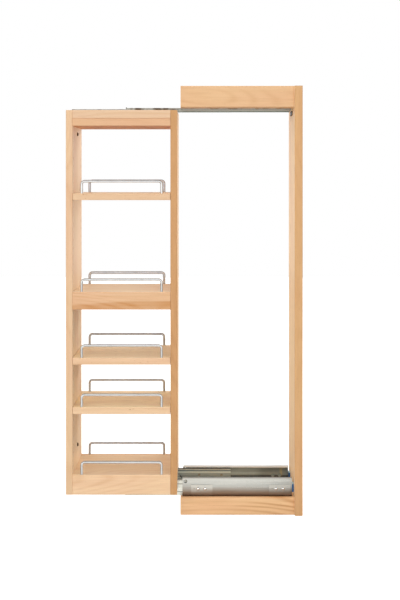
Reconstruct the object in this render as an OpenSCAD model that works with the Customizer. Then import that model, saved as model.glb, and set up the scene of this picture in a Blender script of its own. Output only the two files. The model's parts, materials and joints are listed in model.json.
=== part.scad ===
// Pull-out pantry organiser for a wall cabinet.
// A C-shaped wooden frame is screwed into the cabinet. A five-shelf wooden
// carriage runs in and out of it on two ball-bearing slides below and one above.
//
// Frame of the model: +Z up, -X the way the carriage pulls out, -Y one long side.
// The origin is the middle of the mounting frame's foot, on the cabinet floor.
// The carriage is drawn fully pulled out; it closes by moving along +X.

/* [Mounting frame] */
// Length of the frame along the pull-out direction
frame_len = 276; // [270:1:300]
// Overall height of the frame
frame_h = 972; // [960:1:1000]
// Thickness of the rear post
post_t = 18; // [15:1:22]
// Width of the rear post across the cabinet
post_w = 176; // [170:2:190]
// Width of the top and bottom rails across the cabinet
rail_w = 160; // [150:2:168]
// Height of the top rail
top_rail_h = 48; // [40:1:60]
// Height of the bottom rail's two lips
bottom_rail_h = 39; // [37:1:42]
// Depth of the slide bed cut into the bottom rail
slide_bed_d = 7.5; // [5:0.5:8]
// Size of the small bevel along every board's long edges
ease = 1; // [0.5:0.25:1.5]

/* [Carriage] */
// Length of the carriage along the pull-out direction
carriage_len = 250; // [246:1:252]
// Width of the carriage across the cabinet
carriage_w = 203; // [190:1:210]
// Height of the carriage's lower edge above the cabinet floor
carriage_z0 = 51.5; // [48:0.5:54]
// Height of the carriage's top face above the cabinet floor
carriage_z1 = 916; // [910:1:920]
// Thickness of the end panels
panel_t = 15; // [12:1:16]
// Gap between the frame and the pulled-out carriage
rest_gap = 7.5; // [5:0.5:10]
// Distance that the carriage travels
travel = 254; // [240:1:255]

/* [Shelves] */
// Thickness of each shelf board
board_t = 15; // [12:1:16]
// Height of the strips on the long edges of the middle shelf
mid_edge_h = 39.5; // [30:0.5:45]
// Height of the middle shelf's top face
mid_shelf_z = 507; // [490:1:520]
// Height of the bottom shelf's top face
bottom_shelf_z = 95.5; // [95:0.5:97]
// Height of the fourth shelf's top face, the lowest one that lifts out
fourth_shelf_z = 247.6; // [230:0.1:260]
// Distance between neighbouring shelf-pin holes
pin_pitch = 18.5; // [16:0.5:20]
// Hole steps from the fourth shelf up to the third
third_steps = 6; // [5:1:8]
// Hole steps from the fourth shelf up to the first
first_steps = 26; // [22:1:28]

/* [Wire rails] */
// Diameter of the rail wire
wire_d = 6; // [4:0.5:7]
// Distance between a rail's two legs
rail_span = 180; // [160:2:196]
// Height of a rail's bar, to its centre, above the shelf
rail_h = 27.5; // [22:0.5:35]
// Bend radius at the wire's centre line
bend_r = 7; // [5:0.5:9]
// Distance from a rail to the shelf's long edge, to the wire's centre
rail_inset = 7; // [5:0.5:9]

/* [Slides] */
// Height of a slide's outer member
slide_h = 45; // [44:0.5:46]
// Sheet thickness of the slide members
steel_t = 1.2; // [1:0.1:1.3]
// Length of the outer and fixed members
slide_len = 250; // [245:1:252]
// Length of the intermediate members
mid_len = 244; // [230:1:246]
// Distance between the outer faces of the two lower slides
slide_track = 121; // [116:1:124]

/* [Hidden] */
$fn = 32;
eps = 0.01;

maple = [0.90, 0.76, 0.60];
maple_dark = [0.86, 0.69, 0.50];
zinc = [0.78, 0.78, 0.75];
chrome = [0.88, 0.88, 0.88];
blue = [0.12, 0.35, 0.65];
dark = [0.22, 0.20, 0.18];

// Places along X. The carriage is drawn at its pulled-out end.
frame_x0 = -frame_len / 2;
frame_x1 = frame_len / 2;
post_x0 = frame_x1 - post_t;
carriage_x1 = frame_x0 - rest_gap;
carriage_x0 = carriage_x1 - carriage_len;
carriage_xc = (carriage_x0 + carriage_x1) / 2;
inner_x0 = carriage_x0 + panel_t;
inner_x1 = carriage_x1 - panel_t;
inner_len = inner_x1 - inner_x0;
outer_setback = 4;
outer_x0 = frame_x0 + outer_setback;
outer_x1 = outer_x0 + slide_len;

// The members' rear ends meet the bumpers together when the carriage is closed
bumper_depth = 9.5;
bumper_gap = 0.5;
closed_x1 = outer_x1 - bumper_depth - bumper_gap;
middle_x1 = closed_x1 - travel / 2;
middle_x0 = middle_x1 - mid_len;
moving_x1 = closed_x1 - travel;
lower_member_x0 = inner_x0 + 1;
top_member_x0 = carriage_x0 + 4;

// Heights
bed_z = bottom_rail_h - slide_bed_d;
bracket_t = 1.5;
lower_slide_z = bed_z + bracket_t + slide_h / 2;
top_rail_z0 = frame_h - top_rail_h;
slide_depth = 12.7;
upper_slide_z = carriage_z1 + slide_depth;
first_shelf_z = fourth_shelf_z + first_steps * pin_pitch;
third_shelf_z = fourth_shelf_z + third_steps * pin_pitch;
bottom_edge_h = bottom_shelf_z - carriage_z0;
edge_t = 15;
top_upper_t = 19;
top_lower_t = 16.5;

// Slide sections, measured across the member (u) and in from its back (v)
outer_depth = 11.2;
outer_lip = 1.4;
ball_gap = 0.3;
outer_ball_d = 3.6;
outer_ball_u = slide_h / 2 - steel_t - ball_gap - outer_ball_d / 2;
outer_ball_v = 6.6;
middle_half = outer_ball_u - outer_ball_d / 2 - ball_gap;
middle_v0 = 3.3;
middle_v1 = 11.8;
inner_ball_d = 3.2;
inner_ball_u = middle_half - steel_t - ball_gap - inner_ball_d / 2;
inner_ball_v = 7.6;
inner_half = inner_ball_u - inner_ball_d / 2 - ball_gap;
inner_v0 = 5.9;
cage_t = 0.6;
outer_cage_v0 = 2.3;
outer_cage_v1 = 9.2;
inner_cage_v0 = 4.8;
inner_cage_v1 = 10;
ball_play = 0.15;
cage_len = 100;
ball_pitch = 11;
balls_per_row = 9;

// Fasteners
rivet_r = 2.5;
rivet_head_r = 4;
rivet_inner_h = 0.8;
small_screw_r = 1.75;
small_head_r = 3.2;
small_head_h = 1.8;
bracket_w = 49;
bracket_h = 30;
bracket_foot = 22;
bracket_rivets_x = [16, 32];
rivet_drop = 1;
bracket_hole_x = 7;
bracket_hole_r = 1.6;
bracket_setbacks = [23.5, 201.5];
bracket_xs = [for (setback = bracket_setbacks) frame_x0 + setback];
foot_screws_x = [12, 37];
foot_screw_y = 16;
foot_screw_len = 14;
post_screw_r = 2.5;
post_screw_head_r = 5;
post_screw_head_h = 4;
post_screw_len = 60;
post_screw_y = 50;
post_screw_rise = 4;
post_screw_zs = [bed_z / 2, frame_h - top_rail_h / 2 + post_screw_rise];
mount_hole_r = 2.5;
mount_sink_r = 6;
mount_sink_h = 4;
floor_hole_x = 85;
floor_hole_y = 18;
ceiling_hole_x = 75;
ceiling_hole_y = 52;
mount_hole_xc = (frame_x0 + post_x0) / 2;
door_hole_r = 3;
door_hole_zs = [141, 865];
dowel_r = 4;
dowel_len = 28;
dowel_panel_d = 10;
dowel_y = 78;

// Shelf pins
pin_r = 2.5;
pin_depth = 9;
pin_y = carriage_w / 2 - 17;
pin_reach = 8;
pin_play = 0.3;
pin_drop = board_t - pin_r;
lower_hole_steps = [-5 : 11];
upper_hole_steps = [18 : 33];
shelf_side_gap = 0.5;
leg_depth = 9;

// Notch in each end panel, to pass over the two lower slides
notch_side_gap = 3.5;
notch_h = 29.5;
notch_w = slide_track + 2 * notch_side_gap;
notch_z = carriage_z0 + notch_h;

// ---- Helpers ----

// A box from its low corner to its high corner
module block(low, high) {
  translate(low) cube(high - low);
}

// The outline of a board's end, with a small bevel at each corner
module eased_outline(w, h) {
  polygon([[ease, 0], [w - ease, 0], [w, ease], [w, h - ease],
           [w - ease, h], [ease, h], [0, h - ease], [0, ease]]);
}

// A board that runs along X, bevelled along its long edges
module board_x(low, high) {
  size = high - low;
  translate(low) rotate([90, 0, 90]) linear_extrude(size[0]) eased_outline(size[1], size[2]);
}

// A board that stands along Z, bevelled along its long edges
module board_z(low, high) {
  size = high - low;
  translate(low) linear_extrude(size[2]) eased_outline(size[0], size[1]);
}

// A flat outline in the u-v plane, drawn out along X
module along_x(x0, x1) {
  translate([x0, 0, 0]) rotate([90, 0, 90]) linear_extrude(x1 - x0) children();
}

// Places a slide drawn with its back at z = 0 and its height along y
module at_slide(name) {
  if (name == "far")
    translate([0, slide_track / 2, lower_slide_z]) rotate([90, 0, 0]) children();
  if (name == "near")
    mirror([0, 1, 0]) translate([0, slide_track / 2, lower_slide_z]) rotate([90, 0, 0]) children();
  if (name == "top")
    translate([0, 0, upper_slide_z]) mirror([0, 0, 1]) children();
}

// A countersunk screw that points down from a head flush with z = 0
module screw(length, shank_r, head_r, head_h) {
  difference() {
    union() {
      translate([0, 0, -head_h]) cylinder(r1 = shank_r, r2 = head_r, h = head_h);
      translate([0, 0, -length]) cylinder(r = shank_r, h = length - head_h / 2);
    }
    translate([0, 0, -head_h * 0.6]) cylinder(r = shank_r * 0.8, h = head_h, $fn = 6);
  }
}

// The hole that such a screw fills
module screw_hole(length, shank_r, head_r, head_h) {
  translate([0, 0, -head_h]) cylinder(r1 = shank_r, r2 = head_r, h = head_h);
  translate([0, 0, -length]) cylinder(r = shank_r, h = length - head_h / 2);
  cylinder(r = head_r, h = 1);
}

// ---- Mounting frame ----

// A mounting hole drilled up from z = 0, where its countersink is
module mount_hole(length) {
  translate([0, 0, -1]) cylinder(r = mount_hole_r, h = length + 2);
  translate([0, 0, -eps]) cylinder(r1 = mount_sink_r, r2 = mount_hole_r, h = mount_sink_h);
}

module post_screw_places() {
  for (y = [-post_screw_y, post_screw_y], z = post_screw_zs)
    translate([frame_x1, y, z]) rotate([0, 90, 0]) children();
}

module post_screw_holes() {
  post_screw_places() screw_hole(post_screw_len, post_screw_r, post_screw_head_r, post_screw_head_h);
}

module ceiling_hole_places() {
  for (x = [-ceiling_hole_x, ceiling_hole_x], y = [-ceiling_hole_y, ceiling_hole_y])
    translate([mount_hole_xc + x, y, 0]) children();
}

module floor_hole_places() {
  for (x = [-floor_hole_x, floor_hole_x], y = [-floor_hole_y, floor_hole_y])
    translate([mount_hole_xc + x, y, 0]) children();
}

top_screw_setbacks = [20, 125, 220];
top_screw_xs = [for (setback = top_screw_setbacks) outer_x0 + setback];
top_screw_len = 18;

module top_slide_screw_places() {
  for (x = top_screw_xs)
    translate([x, 0, upper_slide_z - steel_t - rivet_inner_h]) mirror([0, 0, 1]) children();
}

module top_rail() {
  groove_half = slide_h / 2 + 0.5;
  color(maple) difference() {
    board_x([frame_x0, -rail_w / 2, top_rail_z0], [post_x0, rail_w / 2, frame_h]);
    block([frame_x0 - 1, -groove_half, top_rail_z0 - 1], [post_x0 + 1, groove_half, upper_slide_z]);
    post_screw_holes();
    ceiling_hole_places() translate([0, 0, top_rail_z0]) mount_hole(top_rail_h);
    for (x = top_screw_xs)
      translate([x, 0, upper_slide_z - 1]) cylinder(r = small_screw_r, h = top_screw_len);
  }
}

module rear_post() {
  color(maple) difference() {
    board_z([post_x0, -post_w / 2, 0], [frame_x1, post_w / 2, frame_h]);
    post_screw_holes();
    top_stop_screw_places() screw_hole(top_stop_screw_len, small_screw_r, small_head_r, small_head_h);
  }
}

module bottom_rail() {
  bed_half = slide_track / 2 + 8;
  color(maple) difference() {
    board_x([frame_x0, -rail_w / 2, 0], [post_x0, rail_w / 2, bottom_rail_h]);
    block([frame_x0 - 1, -bed_half, bed_z], [post_x0 + 1, bed_half, bottom_rail_h + 1]);
    post_screw_holes();
    floor_hole_places() translate([0, 0, bed_z]) mirror([0, 0, 1]) mount_hole(bed_z);
    foot_screw_places() translate([0, 0, -foot_screw_len]) cylinder(r = small_screw_r, h = foot_screw_len);
  }
}

// Long screws through the post into the rails, and two short ones that hold the stop to the post
module post_screws() {
  color(zinc) {
    post_screw_places() screw(post_screw_len, post_screw_r, post_screw_head_r, post_screw_head_h);
    top_stop_screw_places() screw(top_stop_screw_len, small_screw_r, small_head_r, small_head_h);
  }
}

// ---- Outer members and their fixings ----

module outer_section() {
  half = slide_h / 2;
  difference() {
    translate([-half, 0]) square([slide_h, outer_depth]);
    translate([-half + steel_t, steel_t]) square([slide_h - 2 * steel_t, outer_depth - 2 * steel_t]);
    translate([-half + steel_t + outer_lip, steel_t])
      square([slide_h - 2 * (steel_t + outer_lip), outer_depth]);
  }
}

module rivet_places_on(x0) {
  for (x = bracket_rivets_x) translate([x0 + x, -rivet_drop, 0]) children();
}

corner_hole_r = 3;
corner_inset = 7;

module lower_outer_member(name) {
  color(zinc) at_slide(name) difference() {
    along_x(outer_x0, outer_x1) outer_section();
    for (x0 = bracket_xs)
      rivet_places_on(x0) translate([0, 0, -1]) cylinder(r = rivet_r, h = steel_t + 2);
    translate([outer_x0 + corner_inset, slide_h / 2 - corner_inset, -1])
      cylinder(r = corner_hole_r, h = steel_t + 2);
  }
}

module near_outer_member() { lower_outer_member("near"); }
module far_outer_member() { lower_outer_member("far"); }

module top_outer_member() {
  color(zinc) difference() {
    at_slide("top") along_x(outer_x0, outer_x1) outer_section();
    for (x = top_screw_xs)
      translate([x, 0, upper_slide_z - steel_t - 1]) cylinder(r = small_screw_r, h = steel_t + 2);
  }
}

// An L-bracket: one leg on the back of the outer member, its foot turned under the slide
module lower_bracket(name, x0) {
  foot_v = slide_h / 2;
  color(zinc) at_slide(name) difference() {
    union() {
      block([x0, -foot_v - bracket_t, -bracket_t], [x0 + bracket_w, -foot_v + bracket_h, 0]);
      block([x0, -foot_v - bracket_t, -bracket_t], [x0 + bracket_w, -foot_v, bracket_foot]);
    }
    rivet_places_on(x0) translate([0, 0, -bracket_t - 1]) cylinder(r = rivet_r, h = bracket_t + 2);
    translate([x0 + bracket_hole_x, -rivet_drop, -bracket_t - 1])
      cylinder(r = bracket_hole_r, h = bracket_t + 2);
    for (x = foot_screws_x)
      translate([x0 + x, -foot_v + 1, foot_screw_y]) rotate([90, 0, 0])
        cylinder(r = small_screw_r, h = bracket_t + 2);
  }
}

module near_front_bracket() { lower_bracket("near", bracket_xs[0]); }
module near_rear_bracket() { lower_bracket("near", bracket_xs[1]); }
module far_front_bracket() { lower_bracket("far", bracket_xs[0]); }
module far_rear_bracket() { lower_bracket("far", bracket_xs[1]); }

// A rivet with a domed head outside and a flat one inside the member
module rivet() {
  dome_h = 1.6;
  dome_r = (rivet_head_r * rivet_head_r + dome_h * dome_h) / (2 * dome_h);
  translate([0, 0, -bracket_t]) cylinder(r = rivet_r, h = bracket_t + steel_t + rivet_inner_h);
  translate([0, 0, steel_t]) cylinder(r = rivet_head_r, h = rivet_inner_h);
  intersection() {
    translate([0, 0, -bracket_t - dome_h]) cylinder(r = rivet_head_r, h = dome_h);
    translate([0, 0, -bracket_t - dome_h + dome_r]) sphere(r = dome_r);
  }
}

module bracket_rivets() {
  color(chrome) for (name = ["near", "far"], x0 = bracket_xs)
    at_slide(name) rivet_places_on(x0) rivet();
}

// The top of each bracket foot, where its screws go down into the bottom rail
module foot_screw_places() {
  for (side = [-1, 1], x0 = bracket_xs, x = foot_screws_x)
    translate([x0 + x, side * (slide_track / 2 - foot_screw_y), bed_z + bracket_t]) children();
}

recess_r = 1.3;

// A pan-head screw that points down from the face it clamps, at z = 0
module pan_screw(length) {
  pan_h = 1.6;
  difference() {
    union() {
      cylinder(r = small_head_r, h = pan_h);
      translate([0, 0, -length]) cylinder(r = small_screw_r, h = length + eps);
    }
    translate([0, 0, pan_h / 2]) cylinder(r = recess_r, h = pan_h, $fn = 6);
  }
}

module bracket_screws() {
  color(chrome) foot_screw_places() pan_screw(foot_screw_len);
}

// Low-headed screws from inside the top slide up into the top rail
module top_slide_screws() {
  color(chrome) top_slide_screw_places() difference() {
    union() {
      translate([0, 0, -rivet_inner_h]) cylinder(r = rivet_head_r, h = rivet_inner_h);
      translate([0, 0, -top_screw_len]) cylinder(r = small_screw_r, h = top_screw_len);
    }
    translate([0, 0, -rivet_inner_h / 2]) cylinder(r = recess_r, h = 2, $fn = 6);
  }
}

// A bumper at the rear end of a lower outer member: a pad between it and the post,
// thicker above the path of the latch clip, with a tongue that lies low in the channel,
// where the moving members meet it
module bumper(name) {
  pad_half = 9;
  pad_depth = 9.5;
  thick_bottom = -1;
  thick_depth = 19;
  tongue_bottom = -16;
  tongue_top = -7;
  color(blue) at_slide(name) {
    block([outer_x1 - bumper_depth, tongue_bottom, steel_t], [outer_x1, tongue_top, outer_depth - 2]);
    block([outer_x1, -pad_half, 0], [post_x0, pad_half, pad_depth]);
    block([outer_x1, thick_bottom, 0], [post_x0, pad_half, thick_depth]);
  }
}

module near_bumper() { bumper("near"); }
module far_bumper() { bumper("far"); }

top_stop_w = 45;
top_stop_t = 2;
top_stop_h = 10;
top_stop_z = top_rail_z0 - 6;
top_stop_screw_y = 15;
top_stop_screw_len = 12;

module top_stop_screw_places() {
  for (y = [-top_stop_screw_y, top_stop_screw_y])
    translate([post_x0 - top_stop_t, y, top_stop_z - top_stop_h / 2]) rotate([0, -90, 0]) children();
}

// The plate on the post at the back of the upper slide
module top_stop() {
  color(dark) difference() {
    block([post_x0 - top_stop_t, -top_stop_w / 2, top_stop_z - top_stop_h],
          [post_x0, top_stop_w / 2, top_stop_z]);
    top_stop_screw_places() screw_hole(top_stop_screw_len, small_screw_r, small_head_r, small_head_h);
  }
}

// ---- Ball cages and balls ----

// A thin channel that holds one row of balls along each edge
module cage_section(half, v0, v1) {
  difference() {
    translate([-half - cage_t / 2, v0]) square([2 * half + cage_t, v1 - v0]);
    translate([-half + cage_t / 2, v0 + cage_t]) square([2 * half - cage_t, v1 - v0]);
  }
}

function ball_xs(xc) = [for (i = [0 : balls_per_row - 1]) xc + (i - (balls_per_row - 1) / 2) * ball_pitch];

module cage(name, xc, half, v0, v1, ball_v, ball_d) {
  color(zinc) at_slide(name) difference() {
    along_x(xc - cage_len / 2, xc + cage_len / 2) cage_section(half, v0, v1);
    for (x = ball_xs(xc), side = [-1, 1])
      translate([x, side * half, ball_v]) rotate([90, 0, 0])
        cylinder(r = ball_d / 2 + ball_play, h = 4, center = true);
  }
}

module balls(name, xc, half, ball_v, ball_d) {
  color(chrome) at_slide(name)
    for (x = ball_xs(xc), side = [-1, 1])
      translate([x, side * half, ball_v]) sphere(r = ball_d / 2);
}

// Each cage sits half way along the stretch that its two members share
outer_cage_xc = (outer_x0 + middle_x1) / 2;
inner_cage_xc = (middle_x0 + moving_x1) / 2;

module outer_cage(name) {
  cage(name, outer_cage_xc, outer_ball_u, outer_cage_v0, outer_cage_v1, outer_ball_v, outer_ball_d);
}

module inner_cage(name) {
  cage(name, inner_cage_xc, inner_ball_u, inner_cage_v0, inner_cage_v1, inner_ball_v, inner_ball_d);
}

module near_outer_cage() { outer_cage("near"); }
module far_outer_cage() { outer_cage("far"); }
module top_outer_cage() { outer_cage("top"); }
module near_inner_cage() { inner_cage("near"); }
module far_inner_cage() { inner_cage("far"); }
module top_inner_cage() { inner_cage("top"); }

module outer_balls(name) { balls(name, outer_cage_xc, outer_ball_u, outer_ball_v, outer_ball_d); }
module inner_balls(name) { balls(name, inner_cage_xc, inner_ball_u, inner_ball_v, inner_ball_d); }

module near_outer_balls() { outer_balls("near"); }
module far_outer_balls() { outer_balls("far"); }
module top_outer_balls() { outer_balls("top"); }
module near_inner_balls() { inner_balls("near"); }
module far_inner_balls() { inner_balls("far"); }
module top_inner_balls() { inner_balls("top"); }

// ---- Intermediate and inner members ----

middle_hole_r = 3;
middle_hole_insets = [22, 75];

module middle_member(name) {
  color(zinc) at_slide(name) difference() {
    along_x(middle_x0, middle_x1) difference() {
      translate([-middle_half, middle_v0]) square([2 * middle_half, middle_v1 - middle_v0]);
      translate([-middle_half + steel_t, middle_v0 + steel_t])
        square([2 * (middle_half - steel_t), middle_v1]);
    }
    for (inset = middle_hole_insets)
      translate([middle_x1 - inset, 0, 0]) cylinder(r = middle_hole_r, h = slide_depth);
  }
}

module near_middle_member() { middle_member("near"); }
module far_middle_member() { middle_member("far"); }
module top_middle_member() { middle_member("top"); }

// A rubber pad plugged into the front end of the top slide's intermediate member
module top_middle_bumper() {
  plug_half = 8;
  pad_t = 1.5;
  plug_len = 7;
  web_v = middle_v0 + steel_t;
  color(dark) at_slide("top") {
    block([middle_x0, -plug_half, web_v], [middle_x0 + plug_len, plug_half, web_v + 2.5]);
    block([middle_x0 - pad_t, -plug_half, middle_v0 - 2], [middle_x0, plug_half, web_v + 2.5]);
  }
}

inner_screw_inset = 30;
inner_screw_xs = [inner_x0 + inner_screw_inset, inner_x1 - inner_screw_inset];
inner_screw_len = 5;
top_inner_screw_len = 12;

module inner_member(name, x0) {
  color(zinc) at_slide(name) difference() {
    along_x(x0, moving_x1) difference() {
      translate([-inner_half, inner_v0]) square([2 * inner_half, slide_depth - inner_v0]);
      translate([-inner_half + steel_t, inner_v0 - 1])
        square([2 * (inner_half - steel_t), slide_depth - inner_v0 - steel_t + 1]);
    }
    for (x = inner_screw_xs)
      translate([x, 0, slide_depth - steel_t - 1]) cylinder(r = small_screw_r, h = steel_t + 2);
  }
}

module near_inner_member() { inner_member("near", lower_member_x0); }
module far_inner_member() { inner_member("far", lower_member_x0); }
module top_inner_member() { inner_member("top", top_member_x0); }

// A spring-steel catch on the inside of a lower inner member, hooked out past its rear end
module latch_clip() {
  clip_t = 1.1;
  clip_outline = [[-8, 0], [5, 0], [9, -5], [12, -5], [12, -3], [9.7, -2.2], [6, 2.5], [5, 1.5], [-8, 1.5]];
  translate([moving_x1, 0, slide_depth - steel_t - clip_t]) linear_extrude(clip_t) polygon(clip_outline);
}

module latch_clips() {
  color(dark) for (name = ["near", "far"]) at_slide(name) latch_clip();
}

// Screws that hold the inner members to the carrier and to the carriage's top
module inner_member_screws() {
  color(chrome) for (name = ["near", "far", "top"], x = inner_screw_xs)
    at_slide(name) translate([x, 0, slide_depth - steel_t]) mirror([0, 0, 1])
      pan_screw(name == "top" ? top_inner_screw_len : inner_screw_len);
}

// ---- Carrier under the bottom shelf ----

carrier_t = 1.2;
carrier_end_gap = 3;
carrier_drop = 12;
carrier_x0 = inner_x0 + carrier_end_gap;
carrier_x1 = inner_x1 - carrier_end_gap;
carrier_half = slide_track / 2 - slide_depth;
carrier_z0 = lower_slide_z - carrier_drop;
carrier_z1 = bottom_shelf_z - board_t;
carrier_screw_inset = 45;
carrier_screw_xs = [inner_x0 + carrier_screw_inset, inner_x1 - carrier_screw_inset];
carrier_screw_y = 28;
carrier_screw_len = 11;

module carrier_screw_places() {
  for (x = carrier_screw_xs, y = [-carrier_screw_y, carrier_screw_y])
    translate([x, y, carrier_z1 - carrier_t]) mirror([0, 0, 1]) children();
}

module carrier() {
  color(zinc) difference() {
    block([carrier_x0, -carrier_half, carrier_z0], [carrier_x1, carrier_half, carrier_z1]);
    block([carrier_x0 - 1, -carrier_half + carrier_t, carrier_z0 - 1],
          [carrier_x1 + 1, carrier_half - carrier_t, carrier_z1 - carrier_t]);
    for (x = inner_screw_xs)
      translate([x, 0, lower_slide_z]) rotate([90, 0, 0])
        cylinder(r = small_screw_r, h = 4 * carrier_half, center = true);
    carrier_screw_places() translate([0, 0, -carrier_t - 1]) cylinder(r = small_screw_r, h = carrier_t + 2);
  }
}

module carrier_screws() {
  color(chrome) carrier_screw_places() pan_screw(carrier_screw_len);
}

// ---- Carriage ----

// Dowels join each end panel to the lower top board, the middle shelf and the bottom shelf
dowel_zs = [
  carriage_z1 - top_upper_t - top_lower_t / 2,
  mid_shelf_z - board_t / 2,
  bottom_shelf_z - board_t / 2
];

module dowel_places() {
  for (z = dowel_zs, y = [-dowel_y, dowel_y]) {
    translate([inner_x0 - dowel_panel_d, y, z]) rotate([0, 90, 0]) children();
    translate([inner_x1 + dowel_panel_d, y, z]) rotate([0, -90, 0]) children();
  }
}

module dowel_holes() {
  dowel_places() cylinder(r = dowel_r, h = dowel_len);
}

module panel_dowels() {
  color(maple_dark) dowel_holes();
}

function hole_z(step) = fourth_shelf_z - pin_drop + step * pin_pitch;

module pin_hole_column(steps) {
  for (step = steps, y = [-pin_y, pin_y])
    translate([0, y, hole_z(step)]) rotate([0, 90, 0])
      cylinder(r = pin_r, h = 2 * pin_depth, center = true);
}

module end_panel(x0, face_x) {
  difference() {
    board_z([x0, -carriage_w / 2, carriage_z0], [x0 + panel_t, carriage_w / 2, carriage_z1]);
    block([x0 - 1, -notch_w / 2, carriage_z0 - 1], [x0 + panel_t + 1, notch_w / 2, notch_z]);
    dowel_holes();
    translate([face_x, 0, 0]) {
      pin_hole_column(lower_hole_steps);
      pin_hole_column(upper_hole_steps);
    }
  }
}

module front_panel() {
  color(maple) difference() {
    end_panel(carriage_x0, inner_x0);
    for (z = door_hole_zs)
      translate([carriage_x0 - 1, 0, z]) rotate([0, 90, 0]) cylinder(r = door_hole_r, h = panel_t + 2);
  }
}

module rear_panel() {
  color(maple_dark) end_panel(carriage_x1 - panel_t, inner_x1);
}

module top_board() {
  color(maple) difference() {
    board_x([inner_x0, -carriage_w / 2, carriage_z1 - top_upper_t], [inner_x1, carriage_w / 2, carriage_z1]);
    for (x = inner_screw_xs)
      translate([x, 0, carriage_z1 - top_inner_screw_len + steel_t])
        cylinder(r = small_screw_r, h = top_inner_screw_len);
  }
}

module top_board_lower() {
  z1 = carriage_z1 - top_upper_t;
  color(maple_dark) difference() {
    board_x([inner_x0, -carriage_w / 2, z1 - top_lower_t], [inner_x1, carriage_w / 2, z1]);
    dowel_holes();
  }
}

// The leg places of a shelf's two rails, on its top face
module leg_places(z) {
  for (x = [-rail_span / 2, rail_span / 2], side = [-1, 1])
    translate([carriage_xc + x, side * (carriage_w / 2 - rail_inset), z]) children();
}

module leg_holes(z) {
  leg_places(z) translate([0, 0, -leg_depth]) cylinder(r = wire_d / 2, h = leg_depth + 1);
}

// A fixed shelf's board, between the strips on its two long edges
module fixed_board(z) {
  half = carriage_w / 2 - edge_t;
  color(maple) difference() {
    block([inner_x0, -half, z - board_t], [inner_x1, half, z]);
    dowel_holes();
  }
}

// The strip on a fixed shelf's long edge, bevelled on its outer side; side is -1 or 1
module edge_strip(side, z, h) {
  color(maple) difference() {
    translate([inner_x0, side * carriage_w / 2, z - h]) mirror([0, side > 0 ? 1 : 0, 0])
      rotate([90, 0, 90]) linear_extrude(inner_len)
        polygon([[0, ease], [ease, 0], [edge_t, 0], [edge_t, h], [ease, h], [0, h - ease]]);
    leg_holes(z);
  }
}

module middle_shelf() { fixed_board(mid_shelf_z); }
module middle_edge_front() { edge_strip(-1, mid_shelf_z, mid_edge_h); }
module middle_edge_back() { edge_strip(1, mid_shelf_z, mid_edge_h); }

module bottom_shelf() {
  difference() {
    fixed_board(bottom_shelf_z);
    carrier_screw_places()
      translate([0, 0, -carrier_screw_len]) cylinder(r = small_screw_r, h = carrier_screw_len + 1);
  }
}

module bottom_edge_front() { edge_strip(-1, bottom_shelf_z, bottom_edge_h); }
module bottom_edge_back() { edge_strip(1, bottom_shelf_z, bottom_edge_h); }

// ---- Lift-out shelves and their pins ----

// A shelf board with a slot in its underside over each of its four pins
module lift_out_shelf(z) {
  slot_x = pin_reach + pin_play;
  slot_half = pin_r + pin_play;
  color(maple) difference() {
    board_x([inner_x0 + shelf_side_gap, -carriage_w / 2, z - board_t],
            [inner_x1 - shelf_side_gap, carriage_w / 2, z]);
    leg_holes(z);
    for (x0 = [inner_x0, inner_x1 - slot_x], y = [-pin_y, pin_y])
      block([x0, y - slot_half, z - board_t - 1],
            [x0 + slot_x, y + slot_half, z - board_t + 2 * pin_r + pin_play]);
  }
}

module first_shelf() { lift_out_shelf(first_shelf_z); }
module third_shelf() { lift_out_shelf(third_shelf_z); }
module fourth_shelf() { lift_out_shelf(fourth_shelf_z); }

// A steel peg that reaches out of its hole into the shelf's slot, along +X
module shelf_pin() {
  translate([-pin_depth, 0, pin_r]) rotate([0, 90, 0]) cylinder(r = pin_r, h = pin_depth + pin_reach);
}

module shelf_pins() {
  color(zinc) for (z = [first_shelf_z, third_shelf_z, fourth_shelf_z], y = [-pin_y, pin_y]) {
    translate([inner_x0, y, z - board_t]) shelf_pin();
    translate([inner_x1, y, z - board_t]) mirror([1, 0, 0]) shelf_pin();
  }
}

// ---- Wire rails ----

// One bent wire: two legs, two bends and the bar, standing on z = 0
module wire_rail() {
  leg_x = rail_span / 2;
  for (side = [-1, 1]) {
    translate([side * leg_x, 0, -leg_depth]) cylinder(d = wire_d, h = leg_depth + rail_h - bend_r);
    translate([side * (leg_x - bend_r), 0, rail_h - bend_r]) rotate([90, 0, 0])
      rotate([0, 0, side > 0 ? 0 : 90]) rotate_extrude(angle = 90)
        translate([bend_r, 0]) circle(d = wire_d);
  }
  translate([-leg_x + bend_r, 0, rail_h]) rotate([0, 90, 0])
    cylinder(d = wire_d, h = rail_span - 2 * bend_r);
}

module rail_pair(z) {
  color(chrome) for (side = [-1, 1])
    translate([carriage_xc, side * (carriage_w / 2 - rail_inset), z]) wire_rail();
}

module first_rails() { rail_pair(first_shelf_z); }
module middle_rails() { rail_pair(mid_shelf_z); }
module third_rails() { rail_pair(third_shelf_z); }
module fourth_rails() { rail_pair(fourth_shelf_z); }
module bottom_rails() { rail_pair(bottom_shelf_z); }

// ---- Drawing ----

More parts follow.
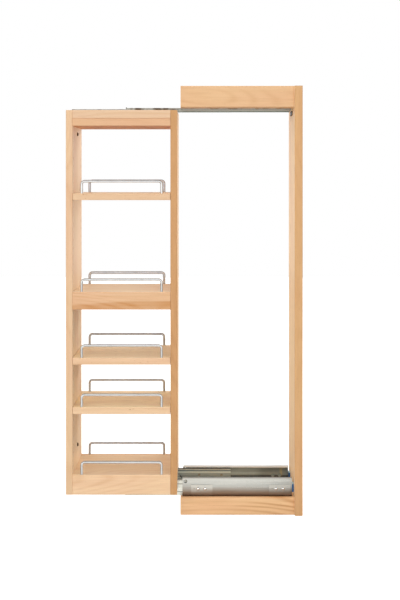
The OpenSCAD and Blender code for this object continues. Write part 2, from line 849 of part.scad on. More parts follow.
top_rail();
rear_post();
bottom_rail();
post_screws();
near_outer_member();
far_outer_member();
top_outer_member();
near_front_bracket();
near_rear_bracket();
far_front_bracket();
far_rear_bracket();
bracket_rivets();
bracket_screws();
top_slide_screws();
near_bumper();
far_bumper();
top_stop();
top_middle_bumper();
near_outer_cage();
far_outer_cage();
top_outer_cage();
near_outer_balls();
far_outer_balls();
top_outer_balls();
near_middle_member();
far_middle_member();
top_middle_member();
near_inner_cage();
far_inner_cage();
top_inner_cage();
near_inner_balls();
far_inner_balls();
top_inner_balls();
near_inner_member();
far_inner_member();
top_inner_member();
latch_clips();
carrier();
carrier_screws();
inner_member_screws();
front_panel();
rear_panel();
top_board();
top_board_lower();
middle_shelf();
middle_edge_front();
middle_edge_back();
bottom_shelf();
bottom_edge_front();
bottom_edge_back();
panel_dowels();
shelf_pins();
first_shelf();
third_shelf();
fourth_shelf();
first_rails();
middle_rails();
third_rails();
fourth_rails();
bottom_rails();
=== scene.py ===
"""Looks for the pull-out pantry organiser: wood, chrome wire, zinc slides, camera and studio."""

import json
import math

import bmesh
import bpy
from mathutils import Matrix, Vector


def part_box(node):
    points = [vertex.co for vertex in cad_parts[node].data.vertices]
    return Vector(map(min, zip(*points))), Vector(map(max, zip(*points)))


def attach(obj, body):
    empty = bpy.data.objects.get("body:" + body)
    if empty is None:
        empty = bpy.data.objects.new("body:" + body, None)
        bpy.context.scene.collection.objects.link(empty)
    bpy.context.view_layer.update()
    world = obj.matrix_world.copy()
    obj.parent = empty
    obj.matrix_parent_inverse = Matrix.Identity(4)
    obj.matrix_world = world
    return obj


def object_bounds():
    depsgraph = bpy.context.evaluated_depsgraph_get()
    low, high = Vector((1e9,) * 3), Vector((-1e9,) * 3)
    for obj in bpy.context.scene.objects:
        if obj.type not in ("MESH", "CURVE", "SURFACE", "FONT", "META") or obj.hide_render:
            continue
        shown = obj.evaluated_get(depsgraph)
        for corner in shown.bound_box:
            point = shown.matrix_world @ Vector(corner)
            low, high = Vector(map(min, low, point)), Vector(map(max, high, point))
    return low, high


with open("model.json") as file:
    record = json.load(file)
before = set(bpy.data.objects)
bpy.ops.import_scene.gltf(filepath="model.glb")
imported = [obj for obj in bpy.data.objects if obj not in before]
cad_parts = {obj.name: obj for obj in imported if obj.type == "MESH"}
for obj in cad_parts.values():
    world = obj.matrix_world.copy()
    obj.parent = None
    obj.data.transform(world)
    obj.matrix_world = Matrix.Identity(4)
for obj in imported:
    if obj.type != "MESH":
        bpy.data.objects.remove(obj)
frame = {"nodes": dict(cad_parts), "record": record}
nodes = frame["nodes"]
cad_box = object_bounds()

MM = 0.001
scene = bpy.context.scene
scene.view_settings.view_transform = "Standard"
scene.view_settings.look = "None"


# ---- Camera ----

CAMERA_X = -94 * MM          # the camera stands a little left of the mounting frame's middle
CAMERA_Y = -2707.5 * MM      # in front of the middle plane
CAMERA_Z = 770 * MM          # level with the upper shelf
FOCAL = 1160                 # focal length in pixels of the 600 pixel side
LONG_SIDE = 600
HORIZON_ABOVE_MIDDLE = 125   # the horizon lies this many pixels above the picture's middle


def make_camera():
    data = bpy.data.cameras.new("camera")
    data.sensor_width = 36
    data.lens = data.sensor_width * FOCAL / LONG_SIDE
    data.shift_y = -HORIZON_ABOVE_MIDDLE / LONG_SIDE
    camera = bpy.data.objects.new("camera", data)
    scene.collection.objects.link(camera)
    camera.location = (CAMERA_X, CAMERA_Y, CAMERA_Z)
    camera.rotation_euler = (math.radians(90), 0, 0)
    scene.camera = camera


make_camera()


# ---- Node helper ----

def linear(rgb):
    """The linear colour of an sRGB colour given as 0 to 255."""
    def one(c):
        c = c / 255
        return c / 12.92 if c <= 0.04045 else ((c + 0.055) / 1.055) ** 2.4
    return (one(rgb[0]), one(rgb[1]), one(rgb[2]), 1)


class Graph:
    """Adds nodes to a material and links them, left to right."""

    def __init__(self, name):
        self.material = bpy.data.materials.new(name)
        self.material.use_nodes = True
        self.tree = self.material.node_tree
        self.shader = self.tree.nodes["Principled BSDF"]

    def add(self, kind, inputs=(), **settings):
        made = self.tree.nodes.new("ShaderNode" + kind)
        for key, value in settings.items():
            setattr(made, key, value)
        for key, value in dict(inputs).items():
            if isinstance(value, bpy.types.NodeSocket):
                self.tree.links.new(value, made.inputs[key])
            else:
                made.inputs[key].default_value = value
        return made

    def place(self):
        return self.add("TexCoord").outputs["Object"]

    def split(self, vector):
        """The outputs X, Y and Z of a vector."""
        return self.add("SeparateXYZ", {0: vector}).outputs

    def facing(self, axis):
        """How far the surface faces along an axis of the object, from -1 to 1."""
        return self.split(self.add("TexCoord").outputs["Normal"])[axis]

    def grey(self, value):
        return self.add("CombineColor", {0: value, 1: value, 2: value}).outputs[0]

    def times(self, colour, value):
        """The colour made darker or brighter by a value."""
        return self.mix(1.0, colour, self.grey(value), "MULTIPLY")

    def mapping(self, vector, location=(0, 0, 0), rotation=(0, 0, 0), scale=(1, 1, 1)):
        turned = [math.radians(a) for a in rotation]
        inputs = {"Vector": vector, "Location": location, "Rotation": turned, "Scale": scale}
        return self.add("Mapping", inputs).outputs["Vector"]

    def noise(self, vector, scale, detail=3, roughness=0.55, distortion=0):
        inputs = {"Vector": vector, "Scale": scale, "Detail": detail,
                  "Roughness": roughness, "Distortion": distortion}
        return self.add("TexNoise", inputs).outputs["Fac"]

    def math(self, operation, a, b=0.0, clamp=False):
        return self.add("Math", {0: a, 1: b}, operation=operation, use_clamp=clamp).outputs[0]

    def remap(self, value, low, high, to_low=0.0, to_high=1.0):
        inputs = {"Value": value, "From Min": low, "From Max": high,
                  "To Min": to_low, "To Max": to_high}
        return self.add("MapRange", inputs).outputs["Result"]

    def mix(self, factor, a, b, blend="MIX"):
        made = self.add("Mix", data_type="RGBA", blend_type=blend)
        for socket, value in ((made.inputs[0], factor), (made.inputs[6], a), (made.inputs[7], b)):
            if isinstance(value, bpy.types.NodeSocket):
                self.tree.links.new(value, socket)
            else:
                socket.default_value = value
        return made.outputs[2]

    def set(self, **values):
        """Sets or links the shader's own sockets; underscores stand for spaces."""
        for key, value in values.items():
            socket = self.shader.inputs[key.replace("_", " ")]
            if isinstance(value, bpy.types.NodeSocket):
                self.tree.links.new(value, socket)
            else:
                socket.default_value = value

    def bump(self, height, strength, distance):
        made = self.add("Bump", {"Height": height, "Strength": strength, "Distance": distance})
        self.set(Normal=made.outputs["Normal"])


# ---- Wood ----

TURN = {"x": (0, 0, 0), "z": (0, 90, 0)}     # turns a board's grain onto X


def wood(name, grain, light, dark, seed, contrast=0.3, bands=24, blush=0.5, flecks=0.0,
         low_band=None, broad=None, arch=None):
    """Maple. grain is the axis it runs along. bands sets how many growth lines cross the board;
    contrast, blush and flecks run from 0 to 1, and seed tells the boards apart.
    low_band is (height, strength): below that height on the object the board is darker, as where
    sapwood meets heartwood.
    broad is (side, colour): the light colour of the wide faces on that side, or on both sides for
    a bare axis, which differs from that of the board's edges. It is partly the maple's own tone and
    partly painted light and shade: lighter on faces that catch light and sheen, darker on faces in
    shade.
    arch is (place, drop, spacing): evenly spaced lines that arch over that place along the board
    and have dropped that much 0.1 m from it."""
    g = Graph(name)
    place = g.place()
    along = g.mapping(place, rotation=TURN[grain])
    shifted = g.mapping(along, location=(seed * 1.7, seed * 0.9, seed * 1.3))
    figure = g.noise(g.mapping(shifted, scale=(1.7, 9, 9)), 1.0, 1, 0.4, 0.35)
    ripple = g.noise(g.mapping(shifted, scale=(9, 60, 60)), 1.0, 3, 0.55)
    waves = g.math("MULTIPLY", figure, bands * 2 * math.pi)
    phase = g.math("ADD", waves, g.math("MULTIPLY", ripple, 3.0))
    if arch:
        centre, drop, spacing = arch
        apart = g.split(along)
        off_centre = g.math("DIVIDE", g.math("SUBTRACT", apart["X"], centre), 0.1)
        fall = g.math("MULTIPLY", g.math("MULTIPLY", off_centre, off_centre), drop)
        bent = g.math("ADD", apart["Z"], fall)
        phase = g.math("ADD", phase, g.math("MULTIPLY", bent, 2 * math.pi / spacing))
    growth = g.remap(g.math("SINE", phase), -1, 1)
    patch = g.noise(g.mapping(shifted, scale=(3, 22, 22)), 1.0, 1, 0.5)
    late = g.math("MULTIPLY", g.math("POWER", growth, 2.2), g.remap(patch, 0.36, 0.64, 0.15, 1.0))
    streak = g.noise(g.mapping(shifted, scale=(6, 170, 170)), 1.0, 5, 0.62, 0.3)
    fibre = g.noise(g.mapping(shifted, scale=(30, 1100, 1100)), 1.0, 2, 0.6)
    pore = g.noise(g.mapping(shifted, scale=(150, 1300, 1300)), 1.0, 1, 0.5)
    fleck = g.noise(g.mapping(shifted, scale=(85, 400, 400)), 1.0, 2, 0.5)
    cloud = g.noise(g.mapping(shifted, scale=(4, 16, 16)), 1.0, 2, 0.5, 0.4)

    amount = g.math("MULTIPLY", late, contrast)
    amount = g.math("ADD", amount, g.remap(streak, 0.3, 0.72, -0.08, 0.3), clamp=True)
    if low_band:
        height, strength = low_band
        edge = g.math("ADD", g.split(place)["Z"], g.remap(figure, 0.3, 0.7, -12 * MM, 12 * MM))
        below = g.remap(edge, height + 1.5 * MM, height - 1.5 * MM)
        deeper = g.math("MULTIPLY", below, g.remap(late, 0, 1, strength * 0.6, strength))
        amount = g.math("ADD", amount, deeper, clamp=True)
    pale, deep = linear(light), linear(dark)
    # Painted light and shade, in part: the wide faces get their own colour, lighter on lit faces and
    # darker on shaded ones
    if broad:
        side, face = broad
        facing = g.facing(side[-1])
        if side[0] == "-":
            facing = g.math("MULTIPLY", facing, -1)
        elif side[0] != "+":
            facing = g.math("ABSOLUTE", facing)
        wide = g.math("GREATER_THAN", facing, 0.8)
        pale = g.mix(wide, pale, linear(face))
        # The growth lines on a wide face are a third their own colour, two thirds a deeper face's
        wide_dark = [0.35 * d + 0.65 * 0.9 * f for d, f in zip(dark, face)]
        deep = g.mix(wide, deep, linear(wide_dark))
    colour = g.mix(amount, pale, deep)
    pinker = g.mix(1.0, colour, (0.965, 0.875, 0.915, 1), "MULTIPLY")
    colour = g.mix(g.remap(cloud, 0.42, 0.66, 0, blush), colour, pinker)
    colour = g.times(colour, g.remap(fibre, 0.3, 0.7, 0.96, 1.03))
    pore_brown = linear((dark[0] * 0.8, dark[1] * 0.72, dark[2] * 0.62))
    colour = g.mix(g.remap(pore, 0.67, 0.76, 0, 0.35), colour, pore_brown)
    colour = g.mix(g.remap(fleck, 0.67, 0.74, 0, flecks), colour, pore_brown)

    height = g.math("ADD", g.math("MULTIPLY", fibre, 0.6), g.math("MULTIPLY", late, -0.4))
    g.bump(height, 0.25, 0.2 * MM)
    g.set(Base_Color=colour, Roughness=g.remap(streak, 0.2, 0.8, 0.38, 0.54))
    g.set(Coat_Weight=0.12, Coat_Roughness=0.3, Specular_IOR_Level=0.35)
    return g.material


# A board's grain, its light and dark colours, and what sets it apart from the others
# Painted light, in part: the shelves' tops are lighter than their front edges, for the light and sheen
# they catch
FACE = dict(grain="x", light=(238, 202, 162), dark=(212, 166, 120), flecks=0.65, blush=0.6,
            broad=("Z", (254, 232, 188)))
BOARDS = {
    "top_rail": dict(grain="x", light=(228, 186, 140), dark=(208, 160, 112), seed=1.0),
    # Painted light, in part: the post's inner side is lighter than its edges and outer side, where
    # light falls on it
    "rear_post": dict(grain="z", light=(216, 170, 118), dark=(196, 144, 90), seed=2.0, bands=16,
                      broad=("-X", (248, 220, 180))),
    "bottom_rail": dict(grain="x", light=(242, 198, 148), dark=(200, 142, 88), seed=3.0,
                        contrast=0.85, bands=9, arch=(-0.03, 0.006, 0.012)),
    # Painted light: the front panel's inner side is painted paler than its edges
    "front_panel": dict(grain="z", light=(232, 197, 157), dark=(212, 166, 120), seed=4.0, blush=0.7,
                        broad=("+X", (245, 222, 190))),
    # Painted light, in part: both wide sides of the rear panel are lighter than its edges
    "rear_panel": dict(grain="z", light=(206, 156, 104), dark=(184, 132, 80), seed=5.0, blush=0.3,
                       broad=("X", (240, 204, 156))),
    "top_board": dict(grain="x", light=(227, 192, 157), dark=(214, 170, 128), seed=6.0),
    # Painted shade: the lower top board's wide faces are painted darker and redder, for the shade on
    # its underside
    "top_board_lower": dict(grain="x", light=(226, 182, 140), dark=(204, 156, 110), seed=7.0,
                            broad=("Z", (222, 152, 94))),
    "middle_shelf": dict(grain="x", light=(243, 220, 186), dark=(218, 178, 136), seed=8.0),
    # Painted light, in part: the top of this strip is painted as light as the shelf tops
    "middle_edge_front": dict(grain="x", light=(230, 188, 147), dark=(200, 140, 80), seed=9.0,
                              contrast=0.2, low_band=(0.487, 0.85), broad=("Z", (243, 220, 186))),
    "middle_edge_back": dict(grain="x", light=(236, 196, 154), dark=(200, 146, 92), seed=10.0,
                             contrast=0.5),
    "bottom_shelf": dict(grain="x", light=(240, 214, 176), dark=(214, 172, 128), seed=11.0),
    # Painted light, in part: the top of this strip is painted as light as the shelf tops
    "bottom_edge_front": dict(grain="x", light=(246, 212, 170), dark=(222, 176, 128), seed=12.0,
                              contrast=0.4, broad=("Z", (240, 214, 176))),
    "bottom_edge_back": dict(grain="x", light=(234, 197, 154), dark=(210, 162, 114), seed=13.0,
                             contrast=0.4),
    "first_shelf": dict(FACE, seed=14.0, light=(228, 193, 154)),
    "third_shelf": dict(FACE, seed=15.0),
    "fourth_shelf": dict(FACE, seed=16.0),
    "panel_dowels": dict(grain="x", light=(222, 186, 140), dark=(196, 152, 104), seed=17.0),
}


def dress(name, material):
    """Gives a CAD node one material."""
    mesh = nodes[name].data
    mesh.materials.clear()
    mesh.materials.append(material)


for board, look in BOARDS.items():
    dress(board, wood("wood_" + board, **look))


# ---- Metals and plastics ----

def chrome_wire():
    """Bright wire. The sides of the back rails that face the shelves are painted cooler: a painted
    reflection, set against the warm wood that they mirror."""
    g = Graph("chrome_wire")
    place = g.place()
    smear = g.noise(place, 60, 3)
    g.bump(g.noise(place, 900, 2), 0.03, 0.1 * MM)
    # Painted reflection: the back rails' sides that face the shelves are tinted blue-grey
    at_back = g.math("GREATER_THAN", g.split(place)["Y"], 0)
    inward = g.math("MULTIPLY", at_back, g.remap(g.facing("Y"), 0.2, -0.3))
    bright = g.mix(inward, linear((199, 200, 200)), linear((199, 209, 225)))
    smeared = g.mix(1.0, bright, (0.88, 0.88, 0.88, 1), "MULTIPLY")
    g.set(Base_Color=g.mix(g.remap(smear, 0.35, 0.7), bright, smeared),
          Roughness=g.remap(smear, 0.3, 0.7, 0.05, 0.13))
    g.set(Metallic=0.55)
    return g.material


def rolled_zinc(g, place):
    """The streaks and spangle of rolled, zinc-plated sheet, from 0 to 1, and the streaks alone."""
    rolled = g.noise(g.mapping(place, scale=(6, 240, 240)), 1.0, 4)
    spangle = g.add("TexVoronoi", {"Vector": place, "Scale": 160}).outputs["Distance"]
    tone = g.math("ADD", g.remap(rolled, 0.3, 0.7, 0, 0.8), g.remap(spangle, 0, 1, 0, 0.2), clamp=True)
    return tone, rolled


def zinc_steel(name, light, dark, rough=0.3):
    """Plain zinc-plated steel; rough is its middle roughness."""
    g = Graph(name)
    tone, rolled = rolled_zinc(g, g.place())
    g.bump(rolled, 0.05, 0.2 * MM)
    g.set(Base_Color=g.mix(tone, linear(light), linear(dark)),
          Roughness=g.remap(rolled, 0.3, 0.7, rough - 0.06, rough + 0.08))
    g.set(Metallic=0.6)
    return g.material


SHEET = 1.2 * MM             # thickness of the slides' steel
SLIDE_MIDDLE = 22 * MM       # from a bracket's foot up to its slide's middle line


def painted_rail_reflection(g, place, colour, middle):
    """Painted reflection: the near slide's outer face is painted darker and browner lower down, for
    the wooden rail it stands on and mirrors.
    middle is the height of the slide's middle line."""
    wander = g.noise(g.mapping(place, scale=(14, 60, 60)), 1.0, 3)
    rise = g.math("ADD", g.split(place)["Z"], g.remap(wander, 0.3, 0.7, -2 * MM, 2 * MM))
    # Painted reflection of the wooden rail: darker, then brown, then deeper brown towards the bottom
    colour = g.times(colour, g.remap(rise, middle + 18 * MM, middle + 2 * MM, 1.0, 0.82))
    colour = g.mix(g.remap(rise, middle + 6 * MM, middle - 9 * MM), colour, linear((122, 104, 87)))
    return g.mix(g.remap(rise, middle - 10 * MM, middle - 26 * MM), colour, linear((128, 96, 68)))


def band(g, value, low, high):
    """1 where the value, in millimetres, lies between low and high."""
    centre, half = (low + high) / 2 * MM, (high - low) / 2 * MM
    return g.math("LESS_THAN", g.math("ABSOLUTE", g.math("SUBTRACT", value, centre)), half)


def slide_outside(g, node, upper, place, tone, middle, back):
    """The colour of a slide member's outer faces."""
    if not upper:
        if node.endswith("_middle_member"):
            return g.mix(tone, linear((212, 214, 204)), linear((190, 191, 182)))
        colour = g.mix(tone, linear((190, 190, 183)), linear((170, 170, 163)))
        # Painted reflection of the rail on the near outer member's lower part
        return painted_rail_reflection(g, place, colour, middle) if node.startswith("near") else colour
    # Painted shade: a top slide's sides are painted darker than its up-facing faces, and the dark brown
    # patches along its top edge, broken up by the worn noise, are painted shadow under the wooden rail
    colour = g.mix(tone, linear((146, 147, 140)), linear((130, 130, 122)))
    worn = g.noise(g.mapping(place, scale=(45, 6, 45)), 1.0, 2)
    near_back = g.remap(g.split(place)["Z"], back - 6.5 * MM, back - 5 * MM)
    colour = g.mix(g.math("MULTIPLY", g.remap(worn, 0.5, 0.6), near_back), colour, linear((70, 58, 44)))
    top = g.mix(tone, linear((214, 215, 208)), linear((190, 190, 182)))
    return g.mix(g.math("GREATER_THAN", g.facing("Z"), 0.5), colour, top)


def slide_inside(g, node, upper, place, tone, off_middle, middle):
    """The colour inside a slide member's channel: dull grey-green, partly painted shade, with more
    painted shade towards a lower slide's two edges. Along a middle member run painted highlights
    and a painted shadow line, for the lit edges and the shaded groove of its ball track."""
    is_middle = node.endswith("_middle_member")
    if is_middle:
        colour = g.mix(tone, linear((186, 200, 193)), linear((160, 172, 166)))
        # Painted light and shade on a middle member: a shadow line in the ball groove, highlights on
        # its edge and on the formed step nearer the middle
        for low, high, track in ((9.2, 11.8, (132, 148, 150)), (11.8, 15, (246, 252, 240)),
                                 (4.6, 8.8, (224, 236, 224))):
            colour = g.mix(band(g, off_middle, low, high), colour, linear(track))
    else:
        colour = g.mix(tone, linear((188, 202, 194)), linear((156, 168, 160)))
    if upper:
        return colour
    along, height = g.split(place)["X"], g.split(place)["Z"]
    # Painted shade: a lower slide's inside is painted darker towards its bottom, an outer member's also
    # towards its top lip, and the far outer member's further along X
    dark_low = g.remap(height, middle + 1 * MM, middle - 3 * MM, 1.0, 0.7 if is_middle else 0.2)
    dark_high = g.remap(height, middle + 5 * MM, middle + 16 * MM, 1.0, 1.0 if is_middle else 0.55)
    shade = g.math("MULTIPLY", dark_low, dark_high)
    if node == "far_outer_member":
        shade = g.math("MULTIPLY", shade, g.remap(along, 35 * MM, 55 * MM, 1.0, 0.66))
        colour = g.mix(band(g, along, 96, 102), colour, linear((214, 208, 166)))
    colour = g.times(colour, shade)
    if not is_middle:
        curled_edge = band(g, off_middle, 15.8, 17.6)
        colour = g.mix(curled_edge, colour, linear((214, 220, 212)))
    return colour


def channel_steel(node):
    """A slide member: bright outside, dull inside, with cut edges painted as highlights on a lower
    slide and as shade on a top one. A middle member also has a pressed groove on its back, painted
    as a dark line of shade, and a lower outer member a painted shadow ring round its corner hole."""
    low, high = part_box(node)
    upper = low[2] > 0.5
    is_middle = node.endswith("_middle_member")
    g = Graph("steel_" + node)
    place = g.place()
    tone, rolled = rolled_zinc(g, place)
    spot = g.split(place)
    across, depth = (spot["Y"], spot["Z"]) if upper else (spot["Z"], g.math("ABSOLUTE", spot["Y"]))
    if upper:
        middle, half, back, front = 0.0, high[1], high[2], low[2]
    else:
        middle, half = (low[2] + high[2]) / 2, (high[2] - low[2]) / 2
        back, front = max(abs(low[1]), abs(high[1])), min(abs(low[1]), abs(high[1]))
    off_middle = g.math("ABSOLUTE", g.math("SUBTRACT", across, middle))
    behind = g.math("LESS_THAN", depth, back - 0.8 * SHEET)
    inside = g.math("MULTIPLY", g.math("LESS_THAN", off_middle, half - 0.8 * SHEET), behind)
    cut = g.math("LESS_THAN", depth, front + 0.3 * SHEET)
    facing_up = g.math("GREATER_THAN", g.facing("Z"), 0.5)
    top = g.math("MULTIPLY", facing_up, g.math("GREATER_THAN", off_middle, half - 0.1 * SHEET))

    bright = slide_outside(g, node, upper, place, tone, middle, back)
    if is_middle:
        # Painted shade: the pressed groove on a middle member's back is painted as a dark line
        bright = g.mix(band(g, off_middle, 8, 9.4), bright, linear((96, 96, 90)))
    dull = slide_inside(g, node, upper, place, tone, off_middle, middle)
    colour = g.mix(inside, bright, dull)
    # Painted highlight on a lower slide's cut edges, painted shade on a top slide's
    colour = g.mix(cut, colour, linear((120, 122, 114) if upper else (245, 247, 244)))
    if not upper and is_middle:
        # Painted shade on a lower middle member's flange tips and up-facing rim, under the outer
        # member's lip
        lip = g.math("MULTIPLY", cut, g.math("GREATER_THAN", off_middle, half - 1.1 * SHEET))
        rim_colour = g.mix(top, linear((92, 94, 88)), linear((150, 152, 146)))
        colour = g.mix(g.math("MAXIMUM", top, lip), colour, rim_colour)
    elif not upper:
        if node.endswith("_outer_member"):
            # Painted shadow: a dark ring in and round the corner hole, for the shade inside it
            corner_hole = (low[0] + 7 * MM, 0, high[2] - 7 * MM)
            offset = g.add("VectorMath", {0: place, 1: corner_hole}, operation="SUBTRACT").outputs[0]
            flat = g.add("VectorMath", {0: offset, 1: (1, 0, 1)}, operation="MULTIPLY").outputs[0]
            away = g.add("VectorMath", {0: flat}, operation="LENGTH").outputs["Value"]
            colour = g.mix(g.math("LESS_THAN", away, 3.8 * MM), colour, linear((46, 50, 56)))
        # Painted light and shade: the far outer member's top flange is painted light, the near one's
        # dark
        top_colour = (214, 217, 218) if node.startswith("far") else (136, 136, 130)
        colour = g.mix(top, colour, linear(top_colour))

    matt = g.math("MAXIMUM", g.math("MAXIMUM", inside, cut), facing_up if upper else top)
    roughness = g.math("ADD", g.remap(rolled, 0.3, 0.7, 0.26, 0.36), g.math("MULTIPLY", inside, 0.12))
    shine = 0.35 if node.startswith("far") else 0.78
    g.bump(rolled, 0.05, 0.2 * MM)
    g.set(Base_Color=colour, Metallic=g.remap(matt, 0, 1, shine, 0.2), Roughness=roughness)
    return g.material


def bracket_steel(node):
    """An angle bracket that holds a lower slide."""
    g = Graph("steel_" + node)
    place = g.place()
    tone, rolled = rolled_zinc(g, place)
    colour = g.mix(tone, linear((206, 204, 195)), linear((184, 181, 172)))
    if node.startswith("near"):
        # Painted reflection of the rail on the near bracket's lower part
        colour = painted_rail_reflection(g, place, colour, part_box(node)[0][2] + SLIDE_MIDDLE)
    g.bump(rolled, 0.05, 0.2 * MM)
    g.set(Base_Color=colour, Roughness=g.remap(rolled, 0.3, 0.7, 0.26, 0.38))
    g.set(Metallic=0.85 if node.startswith("near") else 0.4)
    return g.material


def riveted_steel(track):
    """Rivets through the lower slides: bright domes outside, dull flat heads inside the channel,
    their darker colour partly painted shade.
    track is how far a slide's outer face stands from the middle plane."""
    g = Graph("rivet_steel")
    place = g.place()
    mottled = g.noise(place, 400, 3)
    g.bump(mottled, 0.04, 0.1 * MM)
    outside = g.math("GREATER_THAN", g.math("ABSOLUTE", g.split(place)["Y"]), track)
    bright = g.mix(mottled, linear((226, 226, 222)), linear((200, 200, 196)))
    g.set(Base_Color=g.mix(outside, linear((150, 164, 158)), bright),
          Metallic=g.remap(outside, 0, 1, 0.2, 0.75),
          Roughness=g.remap(mottled, 0.3, 0.7, 0.14, 0.26))
    return g.material


def polished_steel():
    g = Graph("polished_steel")
    mottled = g.noise(g.place(), 400, 3)
    g.bump(mottled, 0.04, 0.1 * MM)
    g.set(Base_Color=g.mix(mottled, linear((226, 226, 222)), linear((200, 200, 196))),
          Roughness=g.remap(mottled, 0.3, 0.7, 0.12, 0.24))
    g.set(Metallic=0.75)
    return g.material


def moulded_plastic(name, light, dark, top=None):
    """Moulded plastic; top is a paler colour painted where it faces up: a painted highlight from
    the studio's light above.
    """
    g = Graph(name)
    grit = g.noise(g.place(), 1500, 3)
    cloud = g.noise(g.place(), 120, 2)
    g.bump(grit, 0.12, 0.1 * MM)
    colour = g.mix(cloud, linear(light), linear(dark))
    if top:
        colour = g.mix(g.remap(g.facing("Z"), 0.4, 0.6), colour, linear(top))
    g.set(Base_Color=colour, Roughness=g.remap(grit, 0.3, 0.7, 0.32, 0.46))
    return g.material


def black_oxide():
    """Blackened steel, a little worn."""
    g = Graph("black_oxide")
    worn = g.noise(g.place(), 90, 4)
    g.bump(g.noise(g.place(), 1200, 2), 0.1, 0.1 * MM)
    g.set(Base_Color=g.mix(g.remap(worn, 0.4, 0.7), linear((46, 42, 40)), linear((86, 78, 70))),
          Roughness=g.remap(worn, 0.3, 0.7, 0.35, 0.55))
    g.set(Metallic=0.6)
    return g.material


def latch_steel():
    """A spring catch: plain steel with a black tip at its hooked end."""
    g = Graph("latch_steel")
    place = g.place()
    worn = g.noise(place, 300, 3)
    tip_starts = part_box("latch_clips")[1][0] - 6 * MM
    tip = g.math("GREATER_THAN", g.split(place)["X"], tip_starts)
    plain = g.mix(worn, linear((186, 188, 178)), linear((156, 158, 148)))
    black = g.mix(worn, linear((34, 33, 32)), linear((60, 57, 54)))
    g.bump(worn, 0.1, 0.1 * MM)
    g.set(Base_Color=g.mix(tip, plain, black),
          Metallic=g.remap(tip, 0, 1, 0.6, 0.0), Roughness=g.remap(worn, 0.3, 0.7, 0.3, 0.5))
    return g.material


CHROME = chrome_wire()
ZINC = zinc_steel("zinc_steel", (206, 202, 192), (182, 176, 164))
CAGE = zinc_steel("cage_steel", (176, 174, 160), (146, 142, 126), 0.35)
POLISHED = polished_steel()
# Painted highlight: the blue plastic's up-facing faces are painted pale
BLUE = moulded_plastic("blue_plastic", (18, 96, 160), (12, 76, 132), (160, 204, 224))
RUBBER = moulded_plastic("black_rubber", (40, 38, 36), (24, 23, 22))
BLACK = black_oxide()

for name in nodes:
    if name in BOARDS:
        continue
    if name.endswith("_rails"):
        dress(name, CHROME)
    elif name.endswith("_cage"):
        dress(name, CAGE)
    elif name.endswith("_member"):
        dress(name, channel_steel(name))
    elif name.endswith("_bracket"):
        dress(name, bracket_steel(name))
    elif name == "bracket_rivets":
        dress(name, riveted_steel(-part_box("near_outer_member")[0][1]))
    elif name == "latch_clips":
        dress(name, latch_steel())
    elif name.endswith(("_balls", "_screws", "_pins")):
        dress(name, POLISHED)
    elif name == "top_middle_bumper":
        dress(name, RUBBER)
    elif name.endswith("_bumper"):
        dress(name, BLUE)
    elif name == "top_stop":
        dress(name, BLACK)
    else:
        dress(name, ZINC)


# ---- Door screws ----

def lathe(profile, segments=36, hex_points=()):
    """A closed mesh turned about X from (distance along X, radius) points.
    The points whose index is in hex_points make a six-sided ring."""
    def radius(index, angle):
        r = profile[index][1]
        if index not in hex_points:
            return r
        return r * math.cos(math.pi / 6) / math.cos(angle % (math.pi / 3) - math.pi / 6)

    made = bmesh.new()
    rings = []
    for i, (x, _) in enumerate(profile):
        angles = [2 * math.pi * k / segments for k in range(segments)]
        rings.append([made.verts.new((x, radius(i, a) * math.cos(a), radius(i, a) * math.sin(a)))
                      for a in angles])
    for one, two in zip(rings, rings[1:]):
        for k in range(segments):
            after = (k + 1) % segments
            made.faces.new((one[k], one[after], two[after], two[k]))
    made.faces.new(rings[0][::-1])
    made.faces.new(rings[-1])
    bmesh.ops.recalc_face_normals(made, faces=made.faces)
    mesh = bpy.data.meshes.new("lathed")
    made.to_mesh(mesh)
    made.free()
    return mesh


def door_screws():
    """The two pan-head screws that wait in the front panel for the cabinet's door."""
    low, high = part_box("front_panel")
    mount = next(m for m in frame["record"]["mounts"] if m["name"] == "door_screws")
    spacing = mount["dims"]["spacing_y_mm"] * MM
    length = high[0] - low[0] - 1 * MM
    shank, head, head_h, socket = 2.4 * MM, 4.2 * MM, 3 * MM, 1.6 * MM
    profile = [(-length, 0.6 * shank), (-length + 1 * MM, shank), (0, shank),
               (0, head), (0.5 * head_h, head), (0.85 * head_h, 0.8 * head),
               (head_h, 0.5 * head), (head_h, socket), (0.4 * head_h, socket)]
    for side, word in ((-1, "lower"), (1, "upper")):
        mesh = lathe(profile, hex_points=(7, 8))
        mesh.materials.append(BLACK)
        screw = bpy.data.objects.new("door_screw_" + word, mesh)
        scene.collection.objects.link(screw)
        screw.location = (high[0], mount["pos_m"][1], mount["pos_m"][2] + side * spacing / 2)
        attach(screw, "carriage")


door_screws()


# ---- Studio ----

def area_light(name, place, aim, size, power):
    data = bpy.data.lights.new(name, "AREA")
    data.shape = "RECTANGLE"
    data.size, data.size_y = size
    data.energy = power
    light = bpy.data.objects.new(name, data)
    scene.collection.objects.link(light)
    light.location = place
    light.visible_glossy = False
    light.rotation_euler = (Vector(aim) - Vector(place)).to_track_quat("-Z", "Y").to_euler()


EVEN_LIGHT = 0.92


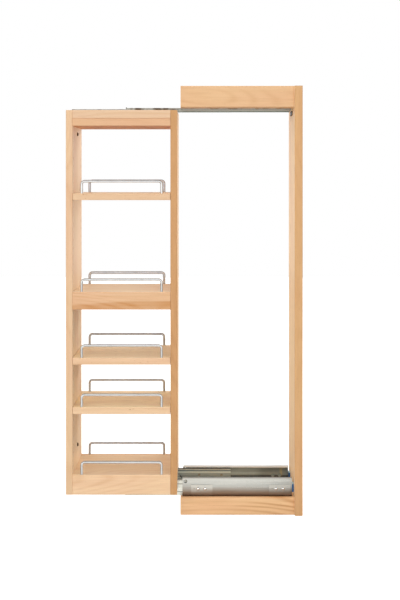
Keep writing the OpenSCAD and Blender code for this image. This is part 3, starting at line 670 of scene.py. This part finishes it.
def world_nodes():
    """Even white light on everything, and a room for metal to mirror: bright in front up to eye
    height, dark overhead and behind. What the camera sees past the object is plain white."""
    world = bpy.data.worlds.new("studio")
    scene.world = world
    world.use_nodes = True
    tree = world.node_tree
    tree.nodes.clear()

    def add(kind, **inputs):
        made = tree.nodes.new("ShaderNode" + kind)
        for key, value in inputs.items():
            socket = made.inputs[key.replace("_", " ")]
            if isinstance(value, bpy.types.NodeSocket):
                tree.links.new(value, socket)
            else:
                socket.default_value = value
        return made

    def ramp(value, stops):
        made = add("ValToRGB", Fac=value)
        elements = made.color_ramp.elements
        elements.remove(elements[0])
        for i, (position, grey) in enumerate(stops):
            stop = elements[0] if i == 0 else elements.new(position)
            stop.position, stop.color = position, (grey, grey, grey, 1)
        return made.outputs["Color"]

    split = add("SeparateXYZ", Vector=add("TexCoord").outputs["Generated"])
    depth = add("MapRange", Value=split.outputs["Y"], From_Min=-1.0).outputs["Result"]
    height = add("MapRange", Value=split.outputs["Z"], From_Min=-1.0).outputs["Result"]
    front = ramp(depth, ((0.0, 2.3), (0.2, 2.0), (0.38, 0.3), (0.6, 0.05), (0.93, 0.08),
                         (0.97, 0.6), (1.0, 0.9)))
    above = ramp(height, ((0.0, 0.9), (0.6, 1.0), (0.72, 0.3), (1.0, 0.2)))
    both = add("Mix")
    both.data_type, both.blend_type = "RGBA", "MULTIPLY"
    both.inputs[0].default_value = 1.0
    tree.links.new(front, both.inputs[6])
    tree.links.new(above, both.inputs[7])
    mirrored = add("Background", Color=both.outputs[2])
    even = add("Background", Color=(EVEN_LIGHT, EVEN_LIGHT, EVEN_LIGHT, 1))
    seen = add("Background", Color=(1, 1, 1, 1))
    rays = add("LightPath")

    def choose(fac, a, b):
        made = add("MixShader", Fac=fac)
        tree.links.new(a.outputs[0], made.inputs[1])
        tree.links.new(b.outputs[0], made.inputs[2])
        return made

    lit = choose(rays.outputs["Is Glossy Ray"], even, mirrored)
    shown = choose(rays.outputs["Is Camera Ray"], lit, seen)
    add("OutputWorld", Surface=shown.outputs[0])


def studio():
    world_nodes()
    middle = (-0.1, 0, 0.45)
    area_light("key", (-1.4, -2.4, 1.7), middle, (1.6, 1.6), 7)
    area_light("low", (-0.2, -2.4, 0.4), (-0.1, 0, 0.1), (1.6, 0.5), 2)
    area_light("top", (-0.2, -0.4, 2.6), middle, (2.0, 1.4), 19)
    area_light("back", (0, 2.3, 1.6), middle, (2.0, 1.4), 9)
    area_light("back_left", (-2.2, 1.5, 1.0), middle, (1.2, 1.6), 16)
    area_light("back_right", (2.0, 1.5, 1.0), middle, (1.2, 1.6), 33)


FLOOR_HALF = 6.0             # metres from the middle of the floor to its sides
FLOOR_GLOW = 0.8             # what makes the floor white where it is seen or mirrored in front
FAINT_GLOW = 0.05            # how much the floor lights the object


def make_floor():
    """A white light table. It shows white with a faint shadow, lights the object only a little
    from below, and in metal it is white in front of the object and dark behind it."""
    mesh = bpy.data.meshes.new("floor")
    r = FLOOR_HALF
    mesh.from_pydata([(-r, -r, 0), (r, -r, 0), (r, r, 0), (-r, r, 0)], [], [(0, 1, 2, 3)])
    floor = bpy.data.objects.new("floor", mesh)
    scene.collection.objects.link(floor)
    g = Graph("floor_paint")
    place = g.place()
    rays = g.add("LightPath").outputs
    seen, mirrored = rays["Is Camera Ray"], rays["Is Glossy Ray"]
    spot = g.split(place)
    ahead = g.math("MAXIMUM", g.math("MULTIPLY", spot["Y"], -1.0), 0.01)
    aside = g.math("ABSOLUTE", g.math("SUBTRACT", spot["X"], (cad_box[0][0] + cad_box[1][0]) / 2))
    behind = g.remap(g.math("DIVIDE", aside, ahead), 0.7, 1.3)
    mottled = g.remap(g.noise(place, 3, 3), 0.3, 0.7, 0.60, 0.62)
    shade = g.math("MULTIPLY", mottled, g.math("SUBTRACT", 1.0, g.math("MULTIPLY", mirrored, behind)))
    in_metal = g.math("MULTIPLY", mirrored, g.math("SUBTRACT", 1.0, behind))
    glow = g.math("ADD", g.math("MULTIPLY", seen, FLOOR_GLOW), g.math("MULTIPLY", in_metal, FLOOR_GLOW))
    g.set(Base_Color=g.grey(shade), Roughness=0.8)
    g.set(Emission_Color=(1, 1, 1, 1), Emission_Strength=g.math("ADD", glow, FAINT_GLOW))
    mesh.materials.append(g.material)


studio()
make_floor()
